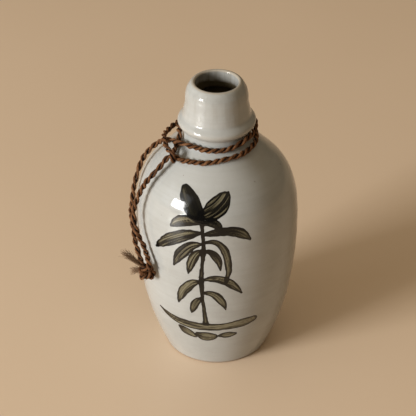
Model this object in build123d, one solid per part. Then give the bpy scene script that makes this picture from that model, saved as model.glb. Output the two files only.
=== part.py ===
# Stoneware sake bottle with a bell-shaped mouth, and the twisted palm cord that is hitched round its neck.
# Origin: centre of the base, on the surface that the bottle stands on. +Z runs up the bottle's axis,
# -Y is the painted front and -X is the side where the cord hangs. Units: millimetres.
import math
import os

from build123d import *

# ---- bottle ----
BOTTLE_HEIGHT = 200.0
FOOT_RADIUS = 36.0
FOOT_EDGE_RADIUS = 1.2
FOOT_RING_WIDTH = 6.0
FOOT_RECESS_DEPTH = 1.5
SHOULDER_END_RADIUS = 29.5
SHOULDER_END_HEIGHT = 155.0
NECK_RADIUS = 21.8
NECK_FLARE_RADIUS = 8.0
NECK_TOP = 168.4
BELL_LEDGE_RADIUS = 22.4
BELL_LEDGE_HEIGHT = 169.0
BEAD_RADIUS = 24.95
BEAD_HEIGHT = 173.0
MOUTH_RADIUS = 13.6
MOUTH_EDGE_RADIUS = 1.2
MOUTH_LAND_LENGTH = 10.0
THROAT_RADIUS = 15.5
THROAT_DROP = 3.0
THROAT_BOTTOM = 160.0
WALL = 4.6
BASE_THICKNESS = 7.0

# Body profile between the foot and the shoulder, as (radius, height).
BODY_PROFILE = [(40.2, 11.4), (45.8, 29.0), (50.6, 53.0), (53.1, 80.0), (53.6, 100.0), (52.6, 116.0),
                (49.6, 129.0), (44.2, 139.6), (36.0, 148.4)]
# Bell-shaped mouth from its ledge up to where its lip starts to round over, as (radius, height).
BELL_PROFILE = [(24.2, 170.9), (BEAD_RADIUS, BEAD_HEIGHT), (23.65, 175.4), (21.85, 177.4), (21.25, 179.6),
                (20.75, 183.0), (20.05, 186.8), (19.85, 190.5), (19.1, 194.5)]
BELL_TOP_SLOPE = (-0.2, 1)
# Points of the lip between there and its crest.
LIP_PROFILE = [(17.8, 197.2), (16.4, 199.2)]

# ---- cord: one length of two-ply palm cord ----
CORD_DIAMETER = 3.3
# The cord goes round the neck doubled, and its folded end holds both strands: a cow hitch. The route
# starts at the rear strand's bend, runs round the neck, through the fold and back round the neck to the
# front strand's bend. Each point is (azimuth in degrees from +X, radius, height).
UPPER_TURN = [
    (176, 36.6, 153.8), (190, 32.1, 161.1), (208, 29.4, 164.4), (230, 25.7, 164.8), (255, 25.0, 163.9),
    (278, 24.9, 164.0), (302, 24.6, 165.8), (324, 24.5, 167.7), (345, 24.5, 167.1), (9, 25.3, 168.0),
    (31, 25.7, 168.4), (55, 25.4, 168.0), (81, 24.9, 167.5), (109, 24.8, 167.3), (137, 24.9, 167.4),
    (165, 25.2, 167.2)]
NECK_FOLD = [
    (186, 24.2, 167.6), (198, 24.2, 165.5), (202, 27.1, 160.6), (207.5, 30.6, 157.5), (213, 33.5, 154.1),
    (220, 35.2, 154.0), (222.5, 37.2, 157.3), (220.5, 36.5, 161.2), (210, 36.4, 162.6), (200, 34.5, 163.6),
    (189, 34.3, 163.9), (178, 31.1, 164.0)]
LOWER_TURN = [
    (163, 27.8, 164.3), (143, 25.6, 163.7), (119, 25.1, 163.6), (96, 25.2, 163.7), (70, 25.2, 163.9),
    (44, 24.9, 164.5), (18, 25.0, 164.5), (356, 24.8, 163.8), (339, 26.7, 162.1), (320, 27.0, 161.1),
    (301, 27.7, 160.4), (280, 28.1, 160.1), (261, 30.1, 158.0), (243, 30.6, 157.5), (227, 32.4, 156.3),
    (218, 34.0, 158.4), (214, 36.4, 157.3), (212, 39.2, 153.8)]
# The two strands hang from the hitch to the knot in their ends, as (x, y, z).
REAR_STRAND = [
    (-36.5, 2.6, 153.8), (-42.3, 1.9, 150.1), (-46.9, 0.2, 144.9), (-50.2, -3.2, 138.0),
    (-52.8, -7.3, 130.0), (-54.4, -11.0, 120.7), (-55.8, -13.8, 111.0), (-54.4, -17.4, 101.8),
    (-53.5, -22.6, 93.7), (-50.7, -28.7, 87.0), (-47.9, -34.3, 82.2)]
FRONT_STRAND = [
    (-33.2, -20.8, 153.8), (-37.8, -22.4, 148.3), (-42.9, -23.7, 142.7), (-47.7, -24.9, 136.1),
    (-50.7, -26.3, 128.1), (-53.4, -27.5, 120.2), (-52.5, -29.1, 112.2), (-50.3, -31.7, 104.4),
    (-46.8, -34.2, 97.7), (-44.3, -37.1, 91.2), (-43.4, -40.6, 84.2)]
# Both strands bend where they leave the hitch. Each stops this far short of the bend, on both sides of it.
BEND_GAP = 2.4
END_ROUNDING = 1.2

# ---- knot and frayed ends ----
KNOT_CENTRE = (-45.2, -37.7, 80.0)
KNOT_RADIUS = 5.2
KNOT_HALF_HEIGHT = 6.0
LONG_END_TIP = (-61.2, -37.0, 97.0)
SHORT_END_TIP = (-56.6, -36.5, 80.2)
FRAYED_TIP_RADIUS = 2.3


def around(azimuth, radius, height):
    angle = math.radians(azimuth)
    return Vector(radius * math.cos(angle), radius * math.sin(angle), height)


def inward(point, wall):
    """The same height on a profile, moved inward by the wall."""
    return (point[0] - wall, point[1])


def make_bottle():
    """The hollow bottle: body, neck and bell-shaped mouth are one turned piece of stoneware."""
    shoulder_end = (SHOULDER_END_RADIUS, SHOULDER_END_HEIGHT)
    # The 45 degree end of the shoulder runs into the upright neck through a concave arc.
    flare_tangent = NECK_FLARE_RADIUS * math.tan(math.radians(22.5))
    flare_corner = SHOULDER_END_HEIGHT + SHOULDER_END_RADIUS - NECK_RADIUS
    flare_diagonal = flare_tangent * math.sqrt(0.5)
    flare_start = (NECK_RADIUS + flare_diagonal, flare_corner - flare_diagonal)
    flare_end = (NECK_RADIUS, flare_corner + flare_tangent)
    cavity_top = (THROAT_RADIUS, THROAT_BOTTOM)
    lip_top = (MOUTH_RADIUS + MOUTH_EDGE_RADIUS, BOTTLE_HEIGHT)
    land_top = (MOUTH_RADIUS, BOTTLE_HEIGHT - MOUTH_EDGE_RADIUS)
    land_bottom = (MOUTH_RADIUS, land_top[1] - MOUTH_LAND_LENGTH)
    bell_ledge = (BELL_LEDGE_RADIUS, BELL_LEDGE_HEIGHT)
    cavity_side = [inward(point, WALL) for point in BODY_PROFILE]
    cavity_floor_edge = inward((cavity_side[0][0], BASE_THICKNESS), WALL)
    with BuildPart() as bottle:
        with BuildSketch(Plane.XZ):
            with BuildLine():
                foot = Line((0, 0), (FOOT_RADIUS, 0))
                body = Spline(foot @ 1, *BODY_PROFILE, shoulder_end, tangents=[(0.35, 0.94), (-1, 1)])
                flank = Line(body @ 1, flare_start)
                flare = TangentArc(flare_start, flare_end, tangent=(-1, 1))
                neck = Line(flare @ 1, (NECK_RADIUS, NECK_TOP))
                ledge = Line(neck @ 1, bell_ledge)
                bell = Spline(ledge @ 1, *BELL_PROFILE, tangents=[(1, 0.8), BELL_TOP_SLOPE])
                lip = Spline(bell @ 1, *LIP_PROFILE, lip_top, tangents=[BELL_TOP_SLOPE, (-1, 0)])
                mouth_edge = TangentArc(lip @ 1, land_top, tangent=(-1, 0))
                land = Line(mouth_edge @ 1, land_bottom)
                throat = Line(land @ 1, (THROAT_RADIUS, land_bottom[1] - THROAT_DROP))
                neck_inside = Line(throat @ 1, cavity_top)
                cavity = Spline(neck_inside @ 1, *reversed(cavity_side), tangents=[(0, -1), (-0.35, -0.94)])
                cavity_chamfer = Line(cavity @ 1, cavity_floor_edge)
                floor = Line(cavity_chamfer @ 1, (0, BASE_THICKNESS))
                Line(floor @ 1, foot @ 0)
            make_face()
        revolve(axis=Axis.Z)
        foot_edge = bottle.edges().filter_by(GeomType.CIRCLE).sort_by(Axis.Z)[0]
        fillet(foot_edge, FOOT_EDGE_RADIUS)
        with Locations((0, 0, FOOT_RECESS_DEPTH / 2)):
            Cylinder(FOOT_RADIUS - FOOT_RING_WIDTH, FOOT_RECESS_DEPTH, mode=Mode.SUBTRACT)
    return bottle.part


def bend_radii(route):
    """For each inner point, 0.45 of the shorter run beside it over the tangent of half the turn."""
    radii = []
    for before, point, after in zip(route, route[1:], route[2:]):
        arriving = point - before
        leaving = after - point
        half_turn = math.radians(arriving.get_angle(leaving)) / 2
        radii.append(0.45 * min(arriving.length, leaving.length) / math.tan(half_turn))
    return radii


def cord_tube(name, points, radii):
    """One stretch of cord, and a line that compares its volume with its section times its length."""
    path = FilletPolyline(*points, radius=radii)
    section = Plane(origin=path @ 0, z_dir=path % 0) * Circle(CORD_DIAMETER / 2)
    tube = sweep(section, path=path)
    expected = math.pi * CORD_DIAMETER**2 / 4 * path.length
    print(f"{name}: length {path.length:.1f}, volume {tube.volume:.0f} of {expected:.0f},"
          f" radii {[round(radius, 1) for radius in radii]}")
    return tube


def round_end(tube, end):
    """Rounds the edge of the tube's end face nearest to the given point."""
    edge = tube.edges().filter_by(GeomType.CIRCLE).sort_by_distance(end)[0]
    return fillet(edge, END_ROUNDING)


def short_of(bend, towards):
    """The point on the run from a bend to its neighbour where the cord's solid stops."""
    return bend + (towards - bend).normalized() * BEND_GAP


def make_neck_cord():
    """The doubled cord round the neck, in three stretches that meet face to face."""
    route = [around(*point) for point in UPPER_TURN + NECK_FOLD + LOWER_TURN]
    route[0] = short_of(route[0], route[1])
    route[-1] = short_of(route[-1], route[-2])
    radii = bend_radii(route)
    fold_start = len(UPPER_TURN)
    fold_end = fold_start + len(NECK_FOLD)
    first_joint = (route[fold_start - 1] + route[fold_start]) / 2
    second_joint = (route[fold_end - 1] + route[fold_end]) / 2
    upper = cord_tube("upper turn", route[:fold_start] + [first_joint], radii[:fold_start - 1])
    fold = cord_tube("neck fold", [first_joint] + route[fold_start:fold_end] + [second_joint],
                     radii[fold_start - 1:fold_end - 1])
    lower = cord_tube("lower turn", [second_joint] + route[fold_end:], radii[fold_end - 1:])
    return round_end(upper, route[0]), fold, round_end(lower, route[-1])


def make_strand(name, points):
    """A strand of the carrying loop, from its bend at the hitch down into the knot."""
    route = [Vector(*point) for point in points]
    route[0] = short_of(route[0], route[1])
    return round_end(cord_tube(name, route, bend_radii(route)), route[0])


def make_knot():
    """The overhand knot that ties both strands, as a plain closed solid of its outer size."""
    with BuildPart() as knot:
        with BuildSketch(Plane.XZ):
            Ellipse(KNOT_RADIUS, KNOT_HALF_HEIGHT)
            with Locations((-KNOT_RADIUS, 0)):
                Rectangle(2 * KNOT_RADIUS, 4 * KNOT_HALF_HEIGHT, mode=Mode.SUBTRACT)
        revolve(axis=Axis.Z)
    return Pos(*KNOT_CENTRE) * knot.part


def make_frayed_end(tip):
    """A cut end of the cord that sticks out of the knot and opens towards its tip."""
    centre = Vector(*KNOT_CENTRE)
    reach = Vector(*tip) - centre
    start = centre + reach.normalized() * (KNOT_RADIUS - 1.0)
    length = (Vector(*tip) - start).length
    cone = Cone(CORD_DIAMETER / 2, FRAYED_TIP_RADIUS, length, align=(Align.CENTER, Align.CENTER, Align.MIN))
    return Plane(origin=start, z_dir=reach.normalized()) * cone


def main():
    os.makedirs("parts", exist_ok=True)
    upper_turn, neck_fold, lower_turn = make_neck_cord()
    nodes = {
        "bottle_body": make_bottle(),
        "cord_upper_neck_turn": upper_turn,
        "cord_neck_fold": neck_fold,
        "cord_lower_neck_turn": lower_turn,
        "cord_rear_strand": make_strand("rear strand", REAR_STRAND),
        "cord_front_strand": make_strand("front strand", FRONT_STRAND),
        "cord_end_knot": make_knot(),
        "cord_long_frayed_end": make_frayed_end(LONG_END_TIP),
        "cord_short_frayed_end": make_frayed_end(SHORT_END_TIP),
    }
    for node, solid in nodes.items():
        export_step(solid, f"parts/{node}.step")


main()
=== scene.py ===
# Stoneware sake bottle with a brush-painted plant, and a palm-fibre cord hitched round its neck.
# Metres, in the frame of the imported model: Z up, -Y is the painted front, -X is the side with the cord.
import math

import bpy
import numpy as np
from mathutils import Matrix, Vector


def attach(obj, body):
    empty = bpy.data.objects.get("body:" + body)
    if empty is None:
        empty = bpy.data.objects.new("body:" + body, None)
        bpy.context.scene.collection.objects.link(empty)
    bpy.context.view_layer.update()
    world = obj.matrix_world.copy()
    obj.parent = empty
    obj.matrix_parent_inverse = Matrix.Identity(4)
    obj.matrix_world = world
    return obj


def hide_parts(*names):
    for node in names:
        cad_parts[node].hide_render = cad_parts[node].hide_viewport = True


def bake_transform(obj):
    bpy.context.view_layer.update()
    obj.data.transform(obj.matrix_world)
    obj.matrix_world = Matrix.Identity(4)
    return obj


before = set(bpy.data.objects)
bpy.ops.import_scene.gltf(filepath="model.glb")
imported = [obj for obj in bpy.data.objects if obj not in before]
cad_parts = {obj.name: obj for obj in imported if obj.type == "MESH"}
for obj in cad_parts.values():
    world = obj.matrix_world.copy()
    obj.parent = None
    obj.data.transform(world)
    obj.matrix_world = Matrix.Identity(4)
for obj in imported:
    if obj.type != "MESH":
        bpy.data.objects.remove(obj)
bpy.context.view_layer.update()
MM = 0.001

# ---- camera: the photograph's viewpoint, in metres, with its sensor and lens in millimetres ----
CAMERA_DISTANCE = 0.8991
CAMERA_ELEVATION = math.radians(34.96)
AIM_HEIGHT = 0.1039
SENSOR_WIDTH = 36.0
LENS = 117.8
SHIFT_X = -0.021154

# ---- bottle, in millimetres, as in the CAD source ----
BOTTLE_HEIGHT = 200.0
FOOT_RADIUS = 36.0
FOOT_EDGE_RADIUS = 1.2
FOOT_RING_WIDTH = 6.0
FOOT_RECESS_DEPTH = 1.5
SHOULDER_END = (29.5, 155.0)
NECK_RADIUS = 21.8
NECK_FLARE_RADIUS = 8.0
NECK_TOP = 168.4
BELL_LEDGE = (22.4, 169.0)
MOUTH_RADIUS = 13.6
MOUTH_EDGE_RADIUS = 1.2
MOUTH_LAND_LENGTH = 10.0
THROAT_RADIUS = 15.5
THROAT_DROP = 3.0
THROAT_BOTTOM = 160.0
WALL = 4.6
BASE_THICKNESS = 7.0
# The body between the foot and the shoulder, as (radius, height).
BODY_PROFILE = [(40.2, 11.4), (45.8, 29.0), (50.6, 53.0), (53.1, 80.0), (53.6, 100.0), (52.6, 116.0),
                (49.6, 129.0), (44.2, 139.6), (36.0, 148.4)]
# The bell-shaped mouth, from its ledge up to where its lip starts to round over.
BEAD_RADIUS = 24.95
BEAD_HEIGHT = 173.0
BELL_PROFILE = [(24.2, 170.9), (BEAD_RADIUS, BEAD_HEIGHT), (23.65, 175.4), (21.85, 177.4), (21.25, 179.6),
                (20.75, 183.0), (20.05, 186.8), (19.85, 190.5), (19.1, 194.5)]
BELL_TOP_SLOPE = (-0.2, 1.0)
# Points of the lip between there and its crest.
LIP_PROFILE = [(17.8, 197.2), (16.4, 199.2)]

# ---- mesh of the bottle, in millimetres, and degrees from the middle of its front, + to the right ----
FOOT_EDGE_INSET = 1.0           # the foot edge's arc has its centre this far in from the foot's radius
FOOT_RING_BEVEL = 0.5           # on the ring's inner edge
SHADE_EDGE_HEIGHT = 192.6        # mean height of the edge of the painted shade inside the mouth, which follows the rim's cast shadow
PAINTED_FROM = -50
PAINTED_TO = 46
FRONT_COLUMNS = 190
BACK_COLUMNS = 66
INK_BOTTOM = 20.0               # every brush stroke lies between these two heights
INK_TOP = 152.0
FAR_FROM_INK = 9.0              # the "ink_edge" distance of a vertex that no stroke is near

# ---- cord route, in millimetres, as in the CAD source apart from three points of the neck fold ----
# Round the neck: azimuth in degrees from +X, radius, height.
UPPER_TURN = [
    (176, 36.6, 153.8), (190, 32.1, 161.1), (208, 29.4, 164.4), (230, 25.7, 164.8), (255, 25.0, 163.9),
    (278, 24.9, 164.0), (302, 24.6, 165.8), (324, 24.5, 167.7), (345, 24.5, 167.1), (9, 25.3, 168.0),
    (31, 25.7, 168.4), (55, 25.4, 168.0), (81, 24.9, 167.5), (109, 24.8, 167.3), (137, 24.9, 167.4),
    (165, 25.2, 167.2)]
NECK_FOLD = [
    (186, 24.2, 167.6), (198, 24.2, 165.5), (202, 27.1, 160.6), (207.5, 30.6, 157.8), (213, 33.2, 155.3),
    (220, 35.3, 155.4), (222.5, 37.2, 157.3), (220.5, 36.5, 161.2), (210, 36.4, 162.6), (200, 34.5, 163.6),
    (189, 34.3, 163.9), (178, 31.1, 164.0)]
LOWER_TURN = [
    (163, 27.8, 164.3), (143, 25.6, 163.7), (119, 25.1, 163.6), (96, 25.2, 163.7), (70, 25.2, 163.9),
    (44, 24.9, 164.5), (18, 25.0, 164.5), (356, 24.8, 163.8), (339, 26.7, 162.1), (320, 27.0, 161.1),
    (301, 27.7, 160.4), (280, 28.1, 160.1), (261, 30.1, 158.0), (243, 30.6, 157.5), (227, 32.4, 156.3),
    (218, 34.0, 158.4), (214, 36.4, 157.3), (212, 39.2, 153.8)]
# The two strands of the carrying loop, from the hitch down to the knot: x, y, z.
REAR_STRAND = [
    (-36.5, 2.6, 153.8), (-42.3, 1.9, 150.1), (-46.9, 0.2, 144.9), (-50.2, -3.2, 138.0),
    (-52.8, -7.3, 130.0), (-54.4, -11.0, 120.7), (-55.8, -13.8, 111.0), (-54.4, -17.4, 101.8),
    (-53.5, -22.6, 93.7), (-50.7, -28.7, 87.0), (-47.9, -34.3, 82.2)]
FRONT_STRAND = [
    (-33.2, -20.8, 153.8), (-37.8, -22.4, 148.3), (-42.9, -23.7, 142.7), (-47.7, -24.9, 136.1),
    (-50.7, -26.3, 128.1), (-53.4, -27.5, 120.2), (-52.5, -29.1, 112.2), (-50.3, -31.7, 104.4),
    (-46.8, -34.2, 97.7), (-44.3, -37.1, 91.2), (-43.4, -40.6, 84.2)]
KNOT_CENTRE = (-45.2, -37.7, 80.0)
# The knot's route, measured from its centre. Both of its ends hide in the strands.
KNOT_ROUTE = [
    (0.3, 0.2, 5.2), (2.4, -1.4, 4.6), (0.3, -3.0, 3.9), (-2.7, -1.9, 3.3), (-2.9, 1.3, 3.0),
    (-0.2, 2.6, 3.1), (2.7, 1.5, 2.4), (2.6, -1.4, 0.2), (0.2, -2.7, -2.0), (-2.3, -1.9, -4.0),
    (-3.7, 0.2, -4.0), (-4.0, 1.5, -1.4), (-2.0, 2.0, 0.9), (1.3, 1.0, 1.5), (3.7, -0.3, 0.2),
    (4.3, -0.6, -2.6), (2.9, -0.6, -4.6), (1.0, 0.6, -3.6), (0.4, 0.3, -1.2), (-2.2, -1.9, 0.2),
    (-3.8, -1.6, 2.0), (-3.4, 0.0, 3.4)]
# The two frayed ends: tip, and root inside the knot measured from its centre.
LONG_END_TIP = (-61.2, -37.0, 97.0)
LONG_END_ROOT = (-2.2, 0.2, 3.2)
SHORT_END_TIP = (-56.6, -36.5, 80.2)
SHORT_END_ROOT = (-2.0, 0.4, 0.9)
FRAYED_ROOT_RADIUS = 0.9
FRAYED_TIP_RADIUS = 2.3
SPLICE = 5.0                    # a strand's piece runs this far past its bend, into the turn round the neck

# ---- two-ply cord, in millimetres ----
PLY_RADIUS = 0.87
PLY_OFFSET = 0.90
LAY_LENGTH = 10.9
RING_STEP = 0.36
PLY_SIDES = 18
KNOT_RING_STEP = 0.3
KNOT_SCALE = 1.02               # the knot's plies over the cord's

# ---- brushwork ----
# Each stroke as seen from the front: x, height and half width along it, in millimetres, then how much
# iron it carries, how streaky it is and how dark its pooled edge is, each from 0 to 1.
STROKES = [
    # two broad leaves at the top
    ([(-10.6, 128.4, 1.2), (-12.9, 132.0, 4.3), (-15.9, 136.8, 6.2), (-18.3, 141.2, 4.4),
      (-19.9, 144.9, 0.8)], 0.95, 0.40, 1.0),
    ([(-9.4, 130.6, 1.3), (-4.9, 133.2, 4.4), (0.3, 136.4, 6.0), (4.3, 139.8, 4.4), (7.0, 143.4, 0.9)],
     0.86, 0.95, 1.0),
    # two short broad leaves below them
    ([(-9.6, 126.6, 1.0), (-15.5, 127.4, 2.9), (-21.6, 126.0, 3.6), (-26.4, 123.2, 2.2),
      (-29.0, 120.4, 0.6)], 0.66, 1.00, 1.0),
    ([(-8.8, 125.8, 0.9), (-5.0, 127.4, 2.3), (-0.8, 126.8, 2.9), (2.8, 123.8, 0.7)], 0.86, 0.60, 1.0),
    # a bud where the top leaves meet
    ([(-10.2, 132.0, 1.6), (-9.6, 128.8, 2.1), (-9.2, 125.2, 1.5)], 0.95, 0.30, 1.0),
    # the stem, in three lengths
    ([(-9.8, 130.4, 1.5), (-8.7, 119.0, 1.2), (-8.4, 108.2, 1.4)], 0.92, 0.40, 1.0),
    ([(-8.5, 106.4, 1.8), (-9.3, 96.0, 1.3), (-9.9, 86.4, 1.6)], 0.80, 0.50, 1.0),
    ([(-9.9, 84.4, 1.9), (-9.5, 72.0, 1.3), (-8.2, 58.0, 1.4), (-7.2, 46.0, 2.0)], 0.66, 0.60, 0.9),
    # long leaves left and right
    ([(-9.2, 120.4, 1.0), (-17.0, 118.4, 3.1), (-26.0, 113.4, 4.1), (-33.2, 107.2, 3.1),
      (-38.6, 100.4, 0.7)], 0.70, 1.00, 1.0),
    ([(-8.8, 119.2, 0.9), (0.0, 121.2, 2.5), (9.0, 121.6, 3.1), (15.2, 119.4, 3.3), (20.8, 114.2, 0.8)],
     0.84, 0.80, 1.0),
    ([(-8.8, 113.6, 0.8), (-1.5, 114.6, 2.0), (3.8, 110.4, 2.5), (6.7, 101.4, 2.5), (7.5, 91.4, 2.0),
      (5.6, 82.8, 0.6)], 0.52, 0.90, 1.0),
    ([(-8.8, 112.6, 0.8), (-14.5, 111.2, 2.7), (-20.7, 105.6, 3.8), (-25.2, 98.0, 2.6), (-27.4, 92.0, 0.6)],
     0.74, 0.90, 1.0),
    ([(-8.8, 108.4, 0.8), (-12.4, 105.4, 2.4), (-15.6, 99.2, 3.1), (-17.5, 92.6, 2.0), (-18.2, 88.0, 0.5)],
     0.60, 0.90, 1.0),
    ([(-8.6, 107.0, 0.8), (-4.4, 107.2, 2.1), (-0.4, 103.4, 2.8), (1.9, 97.4, 1.8), (2.4, 93.2, 0.5)],
     0.70, 0.80, 1.0),
    # lower leaves
    ([(-9.4, 84.2, 0.8), (-2.4, 86.0, 2.6), (5.2, 84.0, 3.2), (11.4, 78.8, 2.6), (16.0, 72.4, 0.6)],
     0.60, 0.95, 1.0),
    ([(-9.8, 83.0, 0.8), (-14.6, 81.4, 2.6), (-19.9, 75.4, 3.5), (-23.4, 67.4, 2.4), (-24.8, 61.0, 0.6)],
     0.50, 0.95, 1.0),
    ([(-9.2, 73.0, 0.8), (-4.4, 73.8, 2.3), (0.8, 70.2, 3.0), (4.4, 63.8, 2.0), (5.8, 59.0, 0.5)],
     0.60, 0.90, 1.0),
    ([(-9.0, 69.6, 0.8), (-11.9, 66.8, 2.2), (-14.9, 60.6, 2.7), (-16.4, 54.2, 0.5)], 0.54, 0.90, 1.0),
    # ground: one long broad stroke and three washes under it
    ([(-37.2, 48.0, 0.6), (-31.0, 44.6, 2.3), (-20.0, 42.4, 3.5), (-6.0, 42.2, 3.6), (8.0, 43.2, 3.6),
      (19.0, 44.6, 3.8), (23.8, 45.6, 2.8)], 0.47, 1.00, 1.0),
    ([(-24.0, 37.4, 1.6), (-19.8, 34.2, 3.5), (-14.6, 31.2, 1.7)], 0.44, 0.80, 1.0),
    ([(-12.0, 33.6, 2.4), (-6.8, 32.2, 4.6), (-1.4, 33.4, 2.2)], 0.42, 0.80, 1.0),
    ([(1.8, 33.6, 1.2), (6.6, 34.0, 3.0), (12.0, 34.6, 1.4)], 0.54, 0.70, 1.0),
]

# ---- colours, linear: a ramp is a list of (place, colour) ----
GLAZE_RAMP = [(0.30, (0.362, 0.366, 0.350)), (0.50, (0.415, 0.422, 0.408)), (0.70, (0.452, 0.460, 0.448))]
INK_RAMP = [(0.0, (0.30, 0.280, 0.205)), (0.25, (0.185, 0.168, 0.110)), (0.5, (0.080, 0.069, 0.041)),
            (0.72, (0.012, 0.011, 0.007)), (1.0, (0.003, 0.003, 0.003))]
CLAY_RAMP = [(0.3, (0.25, 0.19, 0.135)), (0.7, (0.40, 0.32, 0.24))]
# Painted shade inside the mouth: dark brown.
INSIDE_SHADE_RAMP = [(0.3, (0.058, 0.046, 0.026)), (0.7, (0.105, 0.084, 0.050))]
FLOOR_RAMP = [(0.3, (0.775, 0.605, 0.440)), (0.7, (0.805, 0.632, 0.465))]
FIBRE_RAMP = [(0.30, (0.008, 0.003, 0.001)), (0.48, (0.070, 0.026, 0.008)),
              (0.64, (0.195, 0.086, 0.033)), (0.80, (0.35, 0.215, 0.12))]
DRY_FIBRE_RAMP = [(0.30, (0.060, 0.034, 0.018)), (0.48, (0.180, 0.108, 0.060)),
                  (0.64, (0.320, 0.218, 0.140)), (0.80, (0.48, 0.36, 0.26))]
TURNING_LINE = (0.30, 0.285, 0.245, 1)
GLAZE_RUN = (0.27, 0.25, 0.20, 1)
THIN_GLAZE = (0.44, 0.36, 0.255, 1)
# Brown staining in the glaze inside the mouth, which carries painted shade as well.
STAIN_AND_SHADE = (0.105, 0.078, 0.044, 1)
# Iron specks in two sizes: how close together, how large, how strong and their colour.
IRON_SPECKS = [(620.0, 0.16, 0.5, (0.20, 0.16, 0.11, 1)), (170.0, 0.085, 0.75, (0.13, 0.095, 0.06, 1))]
FIBRE_SHEEN = (1.0, 0.75, 0.5, 1)

# ---- room light ----
# Each light: name, azimuth and elevation in degrees, distance, width and height in metres, watts, colour.
LIGHTS = [
    ("window", 212, 15.5, 3.0, (0.96, 0.80), 97.0, (1.0, 0.985, 0.955)),
    ("window_side", 224, 7, 3.0, (0.30, 0.42), 5.2, (0.92, 0.97, 1.0)),
    ("soft_left", 205, 20, 3.2, (2.3, 2.0), 17.0, (0.93, 0.97, 1.0))]
LIGHTS_AIM_HEIGHT = 0.1         # metres
SIDE_LIGHT = (0.035, 0.028, 0.020)
SIDE_LIGHT_TOP = 0.25           # sine of the elevation where the room starts to brighten
OVERHEAD_LIGHT = (0.56, 0.45, 0.31)
FLOOR_REACH = 3000.0            # millimetres from the middle to each side
FLOOR_CELLS = 24


# ======================================================================== helpers

def lerp(a, b, t):
    return a + (b - a) * t


def smooth(low, high, x):
    t = np.clip((x - low) / (high - low), 0.0, 1.0)
    return t * t * (3 - 2 * t)


def unit(vectors):
    return vectors / np.linalg.norm(vectors, axis=-1, keepdims=True)


def distances(points):
    """How far along a line of points each of them is."""
    return np.concatenate([[0], np.cumsum(np.linalg.norm(np.diff(points, axis=0), axis=1))])


def spline(points, start_slope=None, end_slope=None, step=1.0):
    """A smooth line through points of any dimension, with its end slopes given or left free."""
    points = np.asarray(points, float)
    knots = distances(points)
    h = np.diff(knots)
    n = len(points)
    matrix = np.zeros((n, n))
    right = np.zeros(points.shape)
    slopes = np.diff(points, axis=0) / h[:, None]
    for k in range(1, n - 1):
        matrix[k, k - 1:k + 2] = h[k], 2 * (h[k - 1] + h[k]), h[k - 1]
        right[k] = 3 * (h[k] * slopes[k - 1] + h[k - 1] * slopes[k])
    for k, slope, inner in ((0, start_slope, 1), (n - 1, end_slope, n - 2)):
        if slope is None:
            matrix[k, k], matrix[k, inner] = 2, 1
            right[k] = 3 * slopes[0 if k == 0 else -1]
        else:
            matrix[k, k] = 1
            right[k] = unit(np.array(slope, float))
    tangents = np.linalg.solve(matrix, right)
    count = max(2, int(math.ceil(knots[-1] / step)) + 1)
    at = np.linspace(0, knots[-1], count)
    k = np.clip(np.searchsorted(knots, at, side="right") - 1, 0, n - 2)
    t = ((at - knots[k]) / h[k])[:, None]
    hk = h[k][:, None]
    return (points[k] * (1 + 2 * t) * (1 - t) ** 2 + points[k + 1] * t * t * (3 - 2 * t)
            + tangents[k] * hk * t * (1 - t) ** 2 - tangents[k + 1] * hk * t * t * (1 - t))


def arc(centre, radius, start, end, count):
    """Points on an arc in the profile's plane, angles in degrees."""
    angles = np.radians(np.linspace(start, end, count))
    return np.stack([centre[0] + radius * np.cos(angles), centre[1] + radius * np.sin(angles)], -1)


def straight(start, end, step):
    """Points on a straight stretch of a profile, no further apart than a step."""
    count = max(2, int(math.ceil(math.dist(start, end) / step)) + 1)
    return np.linspace(start, end, count)


def chain(*stretches):
    """Stretches of a profile joined end to end, each shared point once."""
    out = [np.asarray(stretches[0])]
    for stretch in stretches[1:]:
        out.append(np.asarray(stretch)[1:])
    return np.concatenate(out)


def lattice_noise(u, v, seed):
    """Smooth value noise from 0 to 1 over two arrays of coordinates."""
    size = 64
    table = np.random.RandomState(seed).rand(size, size)
    iu, iv = np.floor(u).astype(int), np.floor(v).astype(int)
    fu, fv = u - iu, v - iv
    fu, fv = fu * fu * (3 - 2 * fu), fv * fv * (3 - 2 * fv)
    corner = [table[(iu + a) % size, (iv + b) % size] for a in (0, 1) for b in (0, 1)]
    return (corner[0] * (1 - fu) + corner[2] * fu) * (1 - fv) + (corner[1] * (1 - fu) + corner[3] * fu) * fv


def ring_faces(rings, sides):
    """Faces of a closed tube. Its vertices are ring after ring, then the middles of the two end caps."""
    faces = []
    for r in range(rings - 1):
        low, high = r * sides, (r + 1) * sides
        faces += [(low + k, low + (k + 1) % sides, high + (k + 1) % sides, high + k) for k in range(sides)]
    top, middle = (rings - 1) * sides, rings * sides
    faces += [((k + 1) % sides, k, middle) for k in range(sides)]
    faces += [(top + k, top + (k + 1) % sides, middle + 1) for k in range(sides)]
    return faces


def mesh_object(name, vertices, faces, attributes=None):
    """A smooth-shaded mesh object from vertices in millimetres, with float or vector point attributes."""
    mesh = bpy.data.meshes.new(name)
    mesh.from_pydata((np.asarray(vertices) * MM).tolist(), [], faces)
    for key, values in (attributes or {}).items():
        values = np.asarray(values, np.float32)
        kind = "FLOAT" if values.ndim == 1 else "FLOAT_VECTOR"
        field = "value" if values.ndim == 1 else "vector"
        mesh.attributes.new(key, kind, "POINT").data.foreach_set(field, values.ravel())
    mesh.polygons.foreach_set("use_smooth", [True] * len(mesh.polygons))
    mesh.update()
    obj = bpy.data.objects.new(name, mesh)
    bpy.context.scene.collection.objects.link(obj)
    return obj


# ======================================================================== materials

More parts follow.
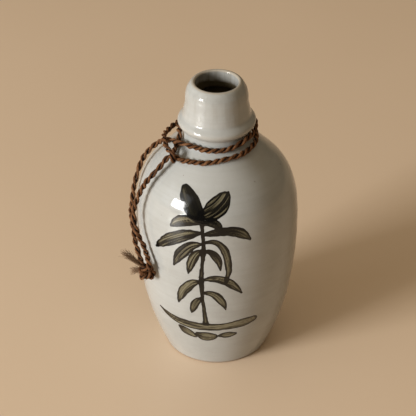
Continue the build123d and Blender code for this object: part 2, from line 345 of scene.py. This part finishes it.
class Nodes:
    """Short calls for building one Principled material."""

    def __init__(self, name):
        self.material = bpy.data.materials.new(name)
        self.material.use_nodes = True
        self.tree = self.material.node_tree
        self.shader = self.tree.nodes["Principled BSDF"]

    def set(self, **values):
        for key, value in values.items():
            self.shader.inputs[key.replace("_", " ")].default_value = value

    def add(self, kind, inputs=None, **settings):
        node = self.tree.nodes.new(kind)
        for key, value in settings.items():
            setattr(node, key, value)
        for key, value in (inputs or {}).items():
            if isinstance(value, bpy.types.NodeSocket):
                self.tree.links.new(value, node.inputs[key])
            else:
                node.inputs[key].default_value = value
        return node

    def link(self, socket, key):
        self.tree.links.new(socket, self.shader.inputs[key])

    def attribute(self, name, output="Fac"):
        return self.add("ShaderNodeAttribute", attribute_name=name).outputs[output]

    def maths(self, operation, a, b=0.0, c=0.0):
        return self.add("ShaderNodeMath", {0: a, 1: b, 2: c}, operation=operation).outputs[0]

    def span(self, value, low, high, to_low=0.0, to_high=1.0, smoothly=True):
        """value mapped from low..high to to_low..to_high, and held there."""
        kind = "SMOOTHSTEP" if smoothly else "LINEAR"
        inputs = {"Value": value, "From Min": low, "From Max": high, "To Min": to_low, "To Max": to_high}
        return self.add("ShaderNodeMapRange", inputs, interpolation_type=kind).outputs["Result"]

    def noise(self, vector, scale, detail=2.0, rough=0.5):
        inputs = {"Vector": vector, "Scale": scale, "Detail": detail, "Roughness": rough}
        return self.add("ShaderNodeTexNoise", inputs).outputs["Fac"]

    def stretched(self, vector, scale):
        return self.add("ShaderNodeMapping", {"Vector": vector, "Scale": scale}).outputs["Vector"]

    def mix(self, factor, a, b, blend="MIX"):
        node = self.tree.nodes.new("ShaderNodeMix")
        node.data_type = "RGBA"
        node.blend_type = blend
        for key, value in (("Factor_Float", factor), ("A_Color", a), ("B_Color", b)):
            socket = next(s for s in node.inputs if s.identifier == key)
            if isinstance(value, bpy.types.NodeSocket):
                self.tree.links.new(value, socket)
            else:
                socket.default_value = value
        return next(s for s in node.outputs if s.identifier == "Result_Color")

    def ramp(self, factor, stops):
        node = self.add("ShaderNodeValToRGB", {"Fac": factor})
        while len(node.color_ramp.elements) < len(stops):
            node.color_ramp.elements.new(0.5)
        for element, (place, colour) in zip(node.color_ramp.elements, stops):
            element.position = place
            element.color = (*colour, 1)
        return node.outputs["Color"]

    def bump(self, height, distance, strength=1.0, normal=None):
        inputs = {"Height": height, "Distance": distance, "Strength": strength}
        if normal is not None:
            inputs["Normal"] = normal
        return self.add("ShaderNodeBump", inputs).outputs["Normal"]


def glaze_colour(m, place, cloud, lines, run):
    """The glaze's own colour, with its turning lines, runs, thin edges and iron specks."""
    # Broad drift of the colour, in bands that lie round the wall.
    drift = m.noise(m.stretched(place, (16, 16, 34)), 1.0, 3.0, 0.55)
    tone = m.maths("ADD", m.maths("MULTIPLY", drift, 0.65), m.maths("MULTIPLY", cloud, 0.35))
    colour = m.ramp(tone, GLAZE_RAMP)
    colour = m.mix(m.span(lines, 0.35, 0.75, 0.0, 0.16), colour, TURNING_LINE)
    colour = m.mix(m.maths("MULTIPLY", run, 0.22), colour, GLAZE_RUN)
    # Pale tan where the glaze is thin, over the edges of the bell and the lip.
    colour = m.mix(m.maths("MULTIPLY", m.attribute("thin_glaze"), 0.6), colour, THIN_GLAZE)
    for scale, reach, depth, brown in IRON_SPECKS:
        spots = m.add("ShaderNodeTexVoronoi", {"Vector": place, "Scale": scale, "Randomness": 1.0})
        pick = m.span(m.noise(spots.outputs["Position"], 900.0, 0.0), 0.57, 0.65)
        speck = m.maths("MULTIPLY", m.span(spots.outputs["Distance"], reach, reach * 0.4), pick)
        colour = m.mix(m.maths("MULTIPLY", speck, depth), colour, brown)
    return colour


def glaze_material():
    """Grey-white glaze on stoneware, with iron brushwork, a bare foot ring and painted shade inside the
    mouth.
    """
    m = Nodes("painted_glaze")
    place = m.add("ShaderNodeTexCoord").outputs["Object"]
    height = m.add("ShaderNodeSeparateXYZ", {"Vector": place}).outputs["Z"]
    cloud = m.noise(place, 75.0, 4.0, 0.6)
    # Turning lines round the wall, and runs of glaze down the bell.
    lines = m.noise(m.stretched(place, (4, 4, 420)), 1.0, 3.0, 0.65)
    runs = m.noise(m.stretched(place, (330, 330, 26)), 1.0, 3.0, 0.6)
    run = m.maths("MULTIPLY", m.span(runs, 0.45, 0.75), m.span(height, 0.172, 0.182))
    colour = glaze_colour(m, place, cloud, lines, run)
    # Brushwork: where it is, how much iron it carries, and its colour from thin olive to black.
    inked = m.span(m.attribute("ink_edge"), 0.16, -0.16)
    grain = m.noise(place, 1500.0, 2.0, 0.7)
    load = m.maths("ADD", m.attribute("ink_load"), m.maths("MULTIPLY_ADD", grain, 0.14, -0.07))
    colour = m.mix(inked, colour, m.ramp(load, INK_RAMP))
    # Bare clay under the foot.
    bare = m.attribute("bare_clay")
    clay_grain = m.noise(place, 900.0, 5.0, 0.7)
    colour = m.mix(bare, colour, m.ramp(clay_grain, CLAY_RAMP))
    # Painted shade inside the mouth: dark brown below a wavy edge along the rim's cast shadow. Above that
    # edge, brown staining in the glaze that carries painted shade too.
    stain_and_shade = m.maths("MULTIPLY", m.attribute("inner_stain_and_shade"), m.span(runs, 0.35, 0.70, 0.75, 1.2))
    colour = m.mix(stain_and_shade, colour, STAIN_AND_SHADE)
    colour = m.mix(m.attribute("inner_shade"), colour, m.ramp(cloud, INSIDE_SHADE_RAMP))
    m.link(colour, "Base Color")
    # Glossy glaze, a little duller where the iron is thick, and rough bare clay.
    smear = m.noise(m.stretched(place, (30, 30, 12)), 1.0, 3.0, 0.6)
    rough = m.span(smear, 0.3, 0.75, 0.05, 0.10)
    rough = m.maths("ADD", rough, m.maths("MULTIPLY", m.maths("MULTIPLY", inked, load), 0.05))
    rough = m.maths("ADD", rough, m.maths("MULTIPLY", bare, 0.55))
    m.link(rough, "Roughness")
    m.set(IOR=1.46)
    # Faint orange-peel of the glaze, fine turning marks, and the brushwork standing a little proud.
    peel = m.bump(m.noise(place, 420.0, 2.0, 0.5), 0.00005, 0.6)
    marks = m.bump(lines, 0.00008, 0.6, peel)
    marks = m.bump(run, 0.00006, 0.7, marks)
    iron = m.bump(m.maths("MULTIPLY", inked, load), 0.00005, 0.7, marks)
    grit = m.bump(m.maths("MULTIPLY", clay_grain, bare), 0.0004, 0.8, iron)
    m.link(grit, "Normal")
    return m.material


def fibre_material(name, shades):
    """Palm fibre. The vector attribute "fibre" runs round a ply and, far slower, along its fibres."""
    m = Nodes(name)
    fibre = m.attribute("fibre", "Vector")
    strands = m.noise(m.stretched(fibre, (3.6, 3.6, 0.55)), 1.0, 4.0, 0.7)
    patches = m.noise(m.stretched(fibre, (0.5, 0.5, 0.42)), 1.0, 3.0, 0.6)
    tone = m.maths("ADD", m.maths("MULTIPLY", strands, 0.55), m.maths("MULTIPLY", patches, 0.60))
    # Painted shade: darker down between the plies.
    groove_shade = m.span(m.attribute("crown"), 0.72, 0.05)
    tone = m.maths("ADD", tone, m.maths("MULTIPLY_ADD", groove_shade, -0.34, -0.02))
    m.link(m.ramp(tone, shades), "Base Color")
    m.link(m.span(strands, 0.3, 0.7, 0.78, 0.52), "Roughness")
    m.set(IOR=1.45, Specular_IOR_Level=0.22)
    m.set(Sheen_Weight=0.03, Sheen_Roughness=0.5, Sheen_Tint=FIBRE_SHEEN)
    m.link(m.bump(strands, 0.00022, 0.9), "Normal")
    return m.material


def floor_material():
    """Plain pale matt floor."""
    m = Nodes("plain_floor")
    place = m.add("ShaderNodeTexCoord").outputs["Object"]
    tone = m.noise(place, 3.0, 3.0, 0.5)
    m.link(m.ramp(tone, FLOOR_RAMP), "Base Color")
    m.set(Roughness=0.38, Specular_IOR_Level=0.5)
    return m.material


# ======================================================================== camera, light and floor

def make_camera():
    data = bpy.data.cameras.new("camera")
    data.sensor_width = SENSOR_WIDTH
    data.lens = LENS
    data.shift_x = SHIFT_X
    data.clip_start = 0.01
    camera = bpy.data.objects.new("camera", data)
    camera.location = (0, -CAMERA_DISTANCE * math.cos(CAMERA_ELEVATION),
                       AIM_HEIGHT + CAMERA_DISTANCE * math.sin(CAMERA_ELEVATION))
    camera.rotation_euler = (math.pi / 2 - CAMERA_ELEVATION, 0, 0)
    bpy.context.scene.collection.objects.link(camera)
    bpy.context.scene.camera = camera


def area_light(name, azimuth, elevation, distance, size, energy, colour):
    """A rectangular light that looks at the bottle from an azimuth and elevation in degrees."""
    data = bpy.data.lights.new(name, "AREA")
    data.shape = "RECTANGLE"
    data.size, data.size_y = size
    data.energy = energy
    data.color = colour
    light = bpy.data.objects.new(name, data)
    turn, rise = math.radians(azimuth), math.radians(elevation)
    away = Vector((math.cos(turn) * math.cos(rise), math.sin(turn) * math.cos(rise), math.sin(rise)))
    light.location = Vector((0, 0, LIGHTS_AIM_HEIGHT)) + away * distance
    light.rotation_euler = away.to_track_quat("Z", "Y").to_euler()
    bpy.context.scene.collection.objects.link(light)


def make_studio():
    for light in LIGHTS:
        area_light(*light)
    world = bpy.data.worlds.new("studio")
    world.use_nodes = True
    nodes, links = world.node_tree.nodes, world.node_tree.links
    # A room that is bright overhead and dim at the sides.
    place = nodes.new("ShaderNodeTexCoord")
    split = nodes.new("ShaderNodeSeparateXYZ")
    links.new(place.outputs["Generated"], split.inputs["Vector"])
    fade = nodes.new("ShaderNodeValToRGB")
    links.new(split.outputs["Z"], fade.inputs["Fac"])
    fade.color_ramp.elements[0].position = SIDE_LIGHT_TOP
    fade.color_ramp.elements[0].color = (*SIDE_LIGHT, 1)
    fade.color_ramp.elements[1].color = (*OVERHEAD_LIGHT, 1)
    links.new(fade.outputs["Color"], nodes["Background"].inputs["Color"])
    bpy.context.scene.world = world
    bpy.context.scene.view_settings.view_transform = "Standard"


def make_floor():
    ticks = np.linspace(-FLOOR_REACH, FLOOR_REACH, FLOOR_CELLS + 1)
    vertices = [(x, y, 0.0) for y in ticks for x in ticks]
    row = len(ticks)
    corners = [r * row + c for r in range(FLOOR_CELLS) for c in range(FLOOR_CELLS)]
    faces = [(low, low + 1, low + row + 1, low + row) for low in corners]
    floor = mesh_object("floor", vertices, faces)
    floor.data.materials.append(floor_material())


# ======================================================================== cord

def polar(points):
    """Points given by azimuth in degrees, radius and height, as x, y, z."""
    return [(radius * math.cos(math.radians(turn)), radius * math.sin(math.radians(turn)), height)
            for turn, radius, height in points]


def nurbs_line(points, name, steps=20):
    """Points read from the order 3 NURBS spline of a route, in millimetres."""
    data = bpy.data.curves.new(name, "CURVE")
    data.dimensions = "3D"
    route = data.splines.new("NURBS")
    route.points.add(len(points) - 1)
    for target, point in zip(route.points, points):
        target.co = (*[value * MM for value in point], 1)
    route.order_u = 3
    route.use_endpoint_u = True
    data.resolution_u = steps
    curve = bpy.data.objects.new(name, data)
    bpy.context.scene.collection.objects.link(curve)
    bpy.context.view_layer.update()
    mesh = bpy.data.meshes.new_from_object(curve)
    read = np.array([v.co for v in mesh.vertices]) / MM
    bpy.data.objects.remove(curve)
    bpy.data.curves.remove(data)
    bpy.data.meshes.remove(mesh)
    return read


class Cord:
    """A line with distances along it, and a normal that turns with it as little as possible."""

    def __init__(self, points, step=RING_STEP):
        runs = np.linalg.norm(np.diff(points, axis=0), axis=1)
        keep = np.concatenate([[True], runs > 1e-6])
        points = points[keep]
        at = distances(points)
        self.length = at[-1]
        self.at = np.linspace(0, at[-1], int(at[-1] / step) + 1)
        self.line = np.stack([np.interp(self.at, at, points[:, k]) for k in range(3)], -1)
        self.tangent = unit(np.gradient(self.line, axis=0))
        normal = np.cross(self.tangent[0], (0.3, 0.2, 0.93))
        normals = []
        for direction in self.tangent:
            normal = unit(normal - direction * normal.dot(direction))
            normals.append(normal)
        self.normal = np.array(normals)
        self.side = np.cross(self.tangent, self.normal)

    def near(self, point):
        """Distance along the line of its nearest place to a point."""
        return self.at[np.argmin(np.linalg.norm(self.line - np.array(point), axis=1))]


def tube(centres, first, second, radii):
    """Rings of a closed tube about its centres, as vertices and faces, capped at both ends."""
    rings, sides = radii.shape
    angles = np.arange(sides) * 2 * math.pi / sides
    ring = first[:, None] * np.cos(angles)[None, :, None] + second[:, None] * np.sin(angles)[None, :, None]
    vertices = (centres[:, None] + ring * radii[:, :, None]).reshape(-1, 3)
    return np.concatenate([vertices, centres[[0, -1]]]), ring_faces(rings, sides)


def thread(path, across, radii):
    """A thin tube along a path. Its rings start from a direction across the path."""
    along = unit(np.gradient(path, axis=0))
    first = unit(np.cross(along, across))
    return tube(path, first, np.cross(along, first), radii)


class Parts:
    """Collects tubes with their fibre attributes into one mesh."""

    def __init__(self):
        self.vertices, self.faces, self.fibre, self.crown, self.count = [], [], [], [], 0

    def add(self, vertices, faces, fibre, crown):
        self.vertices.append(vertices)
        self.faces += [tuple(index + self.count for index in face) for face in faces]
        self.fibre.append(fibre)
        self.crown.append(crown)
        self.count += len(vertices)

    def build(self, name, material):
        attributes = {"fibre": np.concatenate(self.fibre), "crown": np.concatenate(self.crown)}
        made = mesh_object(name, np.concatenate(self.vertices), self.faces, attributes)
        made.data.materials.append(material)
        return made


def add_plies(parts, cord, start, end, scale=1.0):
    """The two plies of a left-laid cord between two distances along its line."""
    pick = (cord.at >= start - 1e-6) & (cord.at <= end + 1e-6)
    at, centre = cord.at[pick], cord.line[pick]
    normal, side = cord.normal[pick], cord.side[pick]
    # The lay tightens and slackens a little along the cord, and the plies swell and thin.
    uneven = at + 1.5 * np.sin(at / 7.3 + 1.0) + 0.55 * np.sin(at / 2.9) + 2.2 * np.sin(at / 23)
    turn = -2 * math.pi / LAY_LENGTH * uneven
    angles = np.arange(PLY_SIDES) * 2 * math.pi / PLY_SIDES
    for ply in (0, 1):
        theta = turn + math.pi * ply
        out = normal * np.cos(theta)[:, None] + side * np.sin(theta)[:, None]
        offset = PLY_OFFSET * scale * (1 + 0.10 * np.sin(at / 5.1 + 2.2 * ply) + 0.05 * np.sin(at / 1.9))
        path = centre + out * offset[:, None]
        along = unit(np.gradient(path, axis=0))
        first = unit(out - along * np.sum(out * along, axis=1)[:, None])
        swell = (1 + 0.09 * np.sin(at / 3.1 + 4.0 * ply) + 0.07 * np.sin(at / 1.47 + 1.7 * ply)
                 + 0.06 * np.sin(at / 11 + 2.5 * ply))
        # Fibres lie in bundles that run nearly along the cord, across the ply's own slant.
        around = angles[None, :] - (0.62 * turn)[:, None]
        rough = lattice_noise(around * 0.9 + 40, at[:, None] / 1.5 + 9, 31 + ply) - 0.5
        ridges = (0.075 * np.sin(4 * around + 1.1 * np.sin(at / 2.3)[:, None])
                  + 0.050 * np.sin(7 * around + 1.3 * np.sin(at / 1.7 + ply)[:, None]) + 0.15 * rough)
        radii = PLY_RADIUS * scale * swell[:, None] * (1 + ridges)
        vertices, faces = tube(path, first, np.cross(along, first), radii)
        lengthwise = np.broadcast_to(0.8 * at[:, None], around.shape)
        fibre = np.stack([np.cos(around) + 7 * ply, np.sin(around), lengthwise], -1).reshape(-1, 3)
        fibre = np.concatenate([fibre, fibre[[0, -1]]])
        # crown is 1 on a ply's crown and 0 between the plies, where the fibre material paints shade.
        crown = np.broadcast_to(0.5 + 0.5 * np.cos(angles), around.shape).reshape(-1)
        parts.add(vertices, faces, fibre, np.concatenate([crown, [0.2, 0.2]]))


def add_stray_fibres(parts, cord, start, end, per_centimetre, seed, lift):
    """Fine fibres that leave the cord's surface at a slant."""
    random = np.random.RandomState(seed)
    count = int((end - start) / 10 * per_centimetre)
    for _ in range(count):
        begin = lerp(start + 1, end - 1, random.rand())
        k = int(np.argmin(abs(cord.at - begin)))
        turn = random.rand() * 2 * math.pi
        out = cord.normal[k] * math.cos(turn) + cord.side[k] * math.sin(turn)
        across = np.cross(cord.tangent[k], out)
        forward = cord.tangent[k] * (1 if random.rand() < 0.5 else -1)
        length, rise, sway = lerp(1.6, 4.2, random.rand()), lerp(*lift, random.rand()), random.randn() * 0.6
        t = np.linspace(0, 1, 7)[:, None]
        path = cord.line[k] + out * (1.25 + rise * t ** 1.6) + forward * length * t + across * sway * t ** 2
        radii = np.broadcast_to(lerp(0.085, 0.035, t), (len(t), 4))
        vertices, faces = thread(path, out, radii)
        n = len(vertices)
        fibre = np.stack([np.full(n, 3.1 * turn), np.full(n, sway), np.linspace(0, 2, n)], -1)
        parts.add(vertices, faces, fibre, np.full(n, 0.75))


def add_frayed_bundle(parts, base, tip, root_radius, tip_radius, count, seed):
    """A cut end: fibres that leave the knot as a loose bundle and open like a small brush."""
    random = np.random.RandomState(seed)
    tip = np.array(tip)
    length = math.dist(base, tip)
    axis = unit(tip - base)
    first_side = unit(np.cross(axis, (0.1, 0.9, 0.4)))
    second_side = np.cross(axis, first_side)
    t = np.linspace(0, 1, 13)
    for _ in range(count):
        turn, spread = random.rand() * 2 * math.pi, math.sqrt(random.rand())
        reach = lerp(0.62, 1.0, random.rand() ** 0.8)
        if random.rand() < 0.25:
            reach *= lerp(0.5, 0.9, random.rand())
        twist = -1.5 * t + turn
        open_up = lerp(root_radius, tip_radius * lerp(0.7, 1.5, random.rand()), t ** 2.0) * spread
        wave = 0.42 * np.sin(t * lerp(5, 12, random.rand()) + random.rand() * 6) * t
        bow = random.randn() * 0.85 * t ** 2
        path = (base + axis * (length * reach * t)[:, None]
                + first_side * (open_up * np.cos(twist) + wave)[:, None]
                + second_side * (open_up * np.sin(twist) + wave * 0.6 + bow)[:, None])
        thick = lerp(0.10, 0.19, random.rand())
        radii = np.broadcast_to((thick * (1 - 0.62 * t ** 2))[:, None], (len(t), 5))
        vertices, faces = thread(path, first_side, radii)
        n = len(vertices)
        tone = random.rand() * 9
        fibre = np.stack([np.full(n, tone), np.full(n, tone * 0.7), np.linspace(0, 3, n)], -1)
        # Through the fibre material's painted shade, each fibre is darker towards its root.
        crown = np.concatenate([np.repeat(0.45 + 0.5 * t, 5), [0.45, 0.95]])
        parts.add(vertices, faces, fibre, crown)


def ply_piece(name, material, cord, start, end, strays, scale=1.0, overlap=0.0):
    """A piece of two-ply cord between two distances along its line.

    strays gives its stray fibres: how many a centimetre, their seed and how far they lift.
    """
    parts = Parts()
    add_plies(parts, cord, start - overlap, end + overlap, scale)
    add_stray_fibres(parts, cord, start, end, *strays)
    return parts.build(name, material)


def make_knot(fibre):
    """The knot in the loop's two ends."""
    route = np.array(KNOT_CENTRE) + np.array(KNOT_ROUTE)
    tie = Cord(nurbs_line(route, "knot_route"), KNOT_RING_STEP)
    knot = ply_piece("cord_knot", fibre, tie, 0.0, tie.length, (9, 14, (0.2, 0.8)), scale=KNOT_SCALE)
    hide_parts("cord_end_knot")
    return knot


def make_frayed_ends(dry_fibre):
    """The cord's two cut ends, which start inside the knot."""
    ends = []
    # Each end: piece, CAD node, tip, root, number of fibres and seed.
    for name, node, tip, root, count, seed in (
            ("cord_end_long", "cord_long_frayed_end", LONG_END_TIP, LONG_END_ROOT, 105, 21),
            ("cord_end_short", "cord_short_frayed_end", SHORT_END_TIP, SHORT_END_ROOT, 84, 22)):
        parts = Parts()
        base = np.array(KNOT_CENTRE) + np.array(root)
        add_frayed_bundle(parts, base, tip, FRAYED_ROOT_RADIUS, FRAYED_TIP_RADIUS, count, seed)
        bundle = parts.build(name, dry_fibre)
        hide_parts(node)
        ends.append(bundle)
    return ends


def make_cord(fibre, dry_fibre):
    """The whole cord as one line, split where the carrying loop turns against the hitch."""
    route = polar(UPPER_TURN + NECK_FOLD + LOWER_TURN)
    whole = Cord(nurbs_line(REAR_STRAND[::-1] + route[1:-1] + FRONT_STRAND, "cord_route"))
    rear_splice = whole.near(REAR_STRAND[0]) + SPLICE
    front_splice = whole.near(FRONT_STRAND[0]) - SPLICE
    step = whole.at[1] - whole.at[0]

    neck = ply_piece("cord_round_neck", fibre, whole, rear_splice, front_splice, (4, 11, (0.1, 0.6)),
                     overlap=step)
    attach(neck, "neck_hitch")
    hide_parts("cord_upper_neck_turn", "cord_neck_fold", "cord_lower_neck_turn")
    rear = ply_piece("cord_strand_rear", fibre, whole, 0.0, rear_splice, (5, 12, (0.1, 0.8)))
    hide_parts("cord_rear_strand")
    front = ply_piece("cord_strand_front", fibre, whole, front_splice, whole.length, (5, 13, (0.1, 0.8)))
    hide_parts("cord_front_strand")
    knot = make_knot(fibre)
    ends = make_frayed_ends(dry_fibre)
    for piece in (knot, *ends):
        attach(piece, "carrying_loop")

    # The loop lifts about the two bends; here each strand's placement is only baked into its mesh.
    for strand, bend, before in ((rear, REAR_STRAND, route[1]), (front, FRONT_STRAND, route[-2])):
        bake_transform(strand)

    def stretch(start, end):
        pick = (whole.at >= start - 1e-6) & (whole.at <= end + 1e-6)
        return whole.line[pick] * MM

    print(f"cord: {whole.length:.1f} mm between the strands' lower ends")


# ======================================================================== bottle

def inked_surface(x, z):
    """Distance to the nearest stroke's edge and the iron's load, for points seen from the front."""
    edge = np.full(x.shape, FAR_FROM_INK)
    uncovered = np.ones(x.shape)
    for number, (points, load, streaky, rim) in enumerate(STROKES):
        centre = spline(points, step=0.3)
        at = distances(centre[:, :2])
        widest = centre[:, 2].max() + 2.0
        low, high = centre[:, :2].min(0) - widest, centre[:, :2].max(0) + widest
        pick = np.nonzero((x > low[0]) & (x < high[0]) & (z > low[1]) & (z < high[1]))[0]
        if not len(pick):
            continue
        dx = x[pick][:, None] - centre[None, :, 0]
        dz = z[pick][:, None] - centre[None, :, 1]
        gap = np.hypot(dx, dz) - centre[None, :, 2]
        rows, k = np.arange(len(pick)), gap.argmin(1)
        gap = gap[rows, k]
        heading = unit(np.gradient(centre[:, :2], axis=0))
        across = dx[rows, k] * heading[k, 1] - dz[rows, k] * heading[k, 0]
        along = at[k]
        # A hand-drawn edge wavers a little.
        waver = (lattice_noise(along / 2.2 + 3.1 * number, across * 0.6 + 5, 40 + number) - 0.5) * 0.55
        gap = gap + waver
        # Dry-brush streaks along the stroke, less iron towards its end, and pools at its edge and start.
        streak = (0.6 * lattice_noise(across * 1.5 + 20, along / 16 + number, 70 + number)
                  + 0.4 * lattice_noise(across * 3.4 + 9, along / 8 + number, 90 + number))
        body = load * (1 + streaky * (smooth(0.25, 0.75, streak) - 0.5) * 1.25)
        body = body * (1 - 0.22 * smooth(0.3, 1.0, along / at[-1]))
        pooled = np.exp(-(np.clip(-gap, 0, None) / 1.1) ** 2.6) * rim
        start_blot = np.exp(-(along / 2.6) ** 2) * 0.35
        amount = np.clip(body + (1 - body) * pooled * 0.97 + start_blot, 0.0, 1.0)
        edge[pick] = np.minimum(edge[pick], gap)
        inside = gap < 0.8
        uncovered[pick[inside]] *= 1 - amount[inside] * smooth(0.8, 0.4, gap[inside])
    return edge, 1 - uncovered


def bottle_profile():
    """The turned outline from the middle of the base round the outside and down the cavity to its floor."""
    ring_radius = FOOT_RADIUS - FOOT_RING_WIDTH
    ring_edge = (ring_radius + FOOT_RING_BEVEL, 0.0)
    foot_edge = arc((FOOT_RADIUS - FOOT_EDGE_INSET, FOOT_EDGE_RADIUS), FOOT_EDGE_RADIUS, 270, 340, 6)
    body = spline([tuple(foot_edge[-1]), *BODY_PROFILE, SHOULDER_END], (0.35, 0.94), (-1, 1), 0.55)
    # The 45 degree end of the shoulder runs into the upright neck through a concave arc.
    flare_tangent = NECK_FLARE_RADIUS * math.tan(math.radians(22.5))
    flare_corner = SHOULDER_END[1] + SHOULDER_END[0] - NECK_RADIUS
    flare_centre = (NECK_RADIUS + NECK_FLARE_RADIUS, flare_corner + flare_tangent)
    flare = arc(flare_centre, NECK_FLARE_RADIUS, 225, 180, 10)
    neck_top = (NECK_RADIUS, NECK_TOP)
    bell = spline([BELL_LEDGE, *BELL_PROFILE], (1, 0.8), BELL_TOP_SLOPE, 0.8)
    lip_top = (MOUTH_RADIUS + MOUTH_EDGE_RADIUS, BOTTLE_HEIGHT)
    lip = spline([BELL_PROFILE[-1], *LIP_PROFILE, lip_top], BELL_TOP_SLOPE, (-1, 0), 0.6)
    mouth_edge = arc((lip_top[0], lip_top[1] - MOUTH_EDGE_RADIUS), MOUTH_EDGE_RADIUS, 90, 180, 7)
    land_bottom = (MOUTH_RADIUS, BOTTLE_HEIGHT - MOUTH_EDGE_RADIUS - MOUTH_LAND_LENGTH)
    throat = (THROAT_RADIUS, land_bottom[1] - THROAT_DROP)
    cavity_top = (THROAT_RADIUS, THROAT_BOTTOM)
    cavity_side = [(radius - WALL, height) for radius, height in BODY_PROFILE]
    cavity = spline([cavity_top, *reversed(cavity_side)], (0, -1), (-0.35, -0.94), 3.5)
    floor_edge = (cavity_side[0][0] - WALL, BASE_THICKNESS)
    return chain(
        straight((0.0, FOOT_RECESS_DEPTH), (ring_radius, FOOT_RECESS_DEPTH), 6.0),
        straight((ring_radius, FOOT_RECESS_DEPTH), ring_edge, 0.8),
        straight(ring_edge, tuple(foot_edge[0]), 1.6), foot_edge, body,
        straight(SHOULDER_END, tuple(flare[0]), 1.0), flare,
        straight(tuple(flare[-1]), neck_top, 1.2),
        straight(neck_top, BELL_LEDGE, 0.5), bell, lip, mouth_edge,
        straight(tuple(mouth_edge[-1]), land_bottom, 0.6),
        straight(land_bottom, throat, 1.5),
        straight(throat, cavity_top, 3.0), cavity,
        straight(tuple(cavity[-1]), floor_edge, 2.0),
        straight(floor_edge, (0.0, BASE_THICKNESS), 6.0))


def column_turns():
    """Azimuths of the mesh's columns, close together on the painted front and wider apart elsewhere."""
    front = np.linspace(PAINTED_FROM, PAINTED_TO, FRONT_COLUMNS)
    back = np.linspace(PAINTED_TO, PAINTED_FROM + 360, BACK_COLUMNS + 2)[1:-1]
    return np.radians(np.concatenate([front, back]) - 90)


def turning_marks(height):
    """Marks of the thrown clay, too shallow to change the outline, with none under the cord."""
    marks = 0.045 * np.sin(height / 2.3 + 0.6 * np.sin(height / 17)) + 0.05 * np.sin(height / 6.1 + 1.0)
    marks = marks * smooth(8, 22, height) * smooth(199, 190, height)
    return marks * (1 - smooth(150, 156, height) * smooth(172, 168, height))


def brushwork(x, y, z, outside):
    """Distance to the brushwork's edge and its load of iron, at every vertex."""
    edge, load = np.full(x.shape, FAR_FROM_INK), np.zeros(x.shape)
    front = outside & (y < 0) & (z > INK_BOTTOM) & (z < INK_TOP)
    edge[front], load[front] = inked_surface(x[front], z[front])
    return edge, load


def thin_glaze(radius, height, outside):
    """Where the glaze has run thin: on the bead, the lip's crest and the bell's lower edge."""
    def band(middle, half_width):
        return np.exp(-((height - middle) / half_width) ** 2)

    lip_radius = LIP_PROFILE[-1][0]
    bead = band(BEAD_HEIGHT - 0.1, 1.4) * outside
    rim = band(BOTTLE_HEIGHT - 0.4, 0.7) * smooth(lip_radius, lip_radius - 1.0, radius)
    ledge = band(BELL_LEDGE[1] + 0.6, 0.6) * (radius > NECK_RADIUS + 0.1) * outside
    return np.clip(0.25 * bead + rim + 0.5 * ledge, 0, 1)


def inside_shade_and_stain(height, turn, inside):
    """Painted shade below a wavy edge in the mouth, along the rim's cast shadow, and above that edge brown
    staining in the glaze, deepened by painted shade.
    """
    wave = 0.9 * np.cos(turn - math.radians(160)) + 0.6 * np.cos(3 * turn - math.radians(75))
    above_shade_edge = height[:, None] - (SHADE_EDGE_HEIGHT + wave)[None]
    inside_shade = smooth(0.3, -0.5, above_shade_edge) * inside[:, None]
    # Painted shade: deeper on the side that the rim shades, and towards the edge of the painted shade
    # below.
    shady = 0.5 + 0.5 * np.cos(turn - math.radians(150))
    stain_and_shade = 0.16 + 0.34 * shady[None] + 0.34 * smooth(1.6, 0.2, above_shade_edge)
    return inside_shade, stain_and_shade * (smooth(199.7, 198.6, height) * inside)[:, None]


def make_bottle(glaze):
    rows = bottle_profile()
    radius, height = rows[1:-1].T
    outside = np.arange(len(height)) < np.argmax(rows[:, 1])
    turn = column_turns()
    sides = len(turn)
    ring = (radius + turning_marks(height) * outside)[:, None]
    x, y = ring * np.cos(turn)[None], ring * np.sin(turn)[None]
    z = np.broadcast_to(height[:, None], x.shape)
    middles = [[0, 0, rows[0, 1]], [0, 0, rows[-1, 1]]]
    vertices = np.concatenate([np.stack([x, y, z], -1).reshape(-1, 3), middles])

    edge, load = brushwork(x.ravel(), y.ravel(), z.ravel(), np.repeat(outside, sides))
    thin = np.repeat(thin_glaze(radius, height, outside), sides)
    bare = np.repeat(smooth(2.2, 1.1, height) * outside, sides)
    # Painted shade inside the mouth, and the staining above it, which carries painted shade too.
    inside_shade, stain_and_shade = inside_shade_and_stain(height, turn, ~outside)
    # Each attribute, with its two values at the middle of the base and of the cavity's floor.
    attributes = {name: np.concatenate([values.ravel(), last_two]) for name, values, last_two in (
        ("ink_edge", edge, [FAR_FROM_INK, FAR_FROM_INK]), ("ink_load", load, [0.0, 0.0]),
        ("thin_glaze", thin, [0.0, 0.0]), ("bare_clay", bare, [1.0, 0.0]),
        ("inner_shade", inside_shade, [0.0, 1.0]), ("inner_stain_and_shade", stain_and_shade, [0.0, 0.0]))}
    bottle = mesh_object("bottle", vertices, ring_faces(len(height), sides), attributes)
    bottle.data.materials.append(glaze)
    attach(bottle, "bottle")
    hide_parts("bottle_body")


# ======================================================================== scene

make_camera()
make_cord(fibre_material("palm_fibre", FIBRE_RAMP), fibre_material("palm_fibre_dry", DRY_FIBRE_RAMP))
make_bottle(glaze_material())
make_floor()
make_studio()
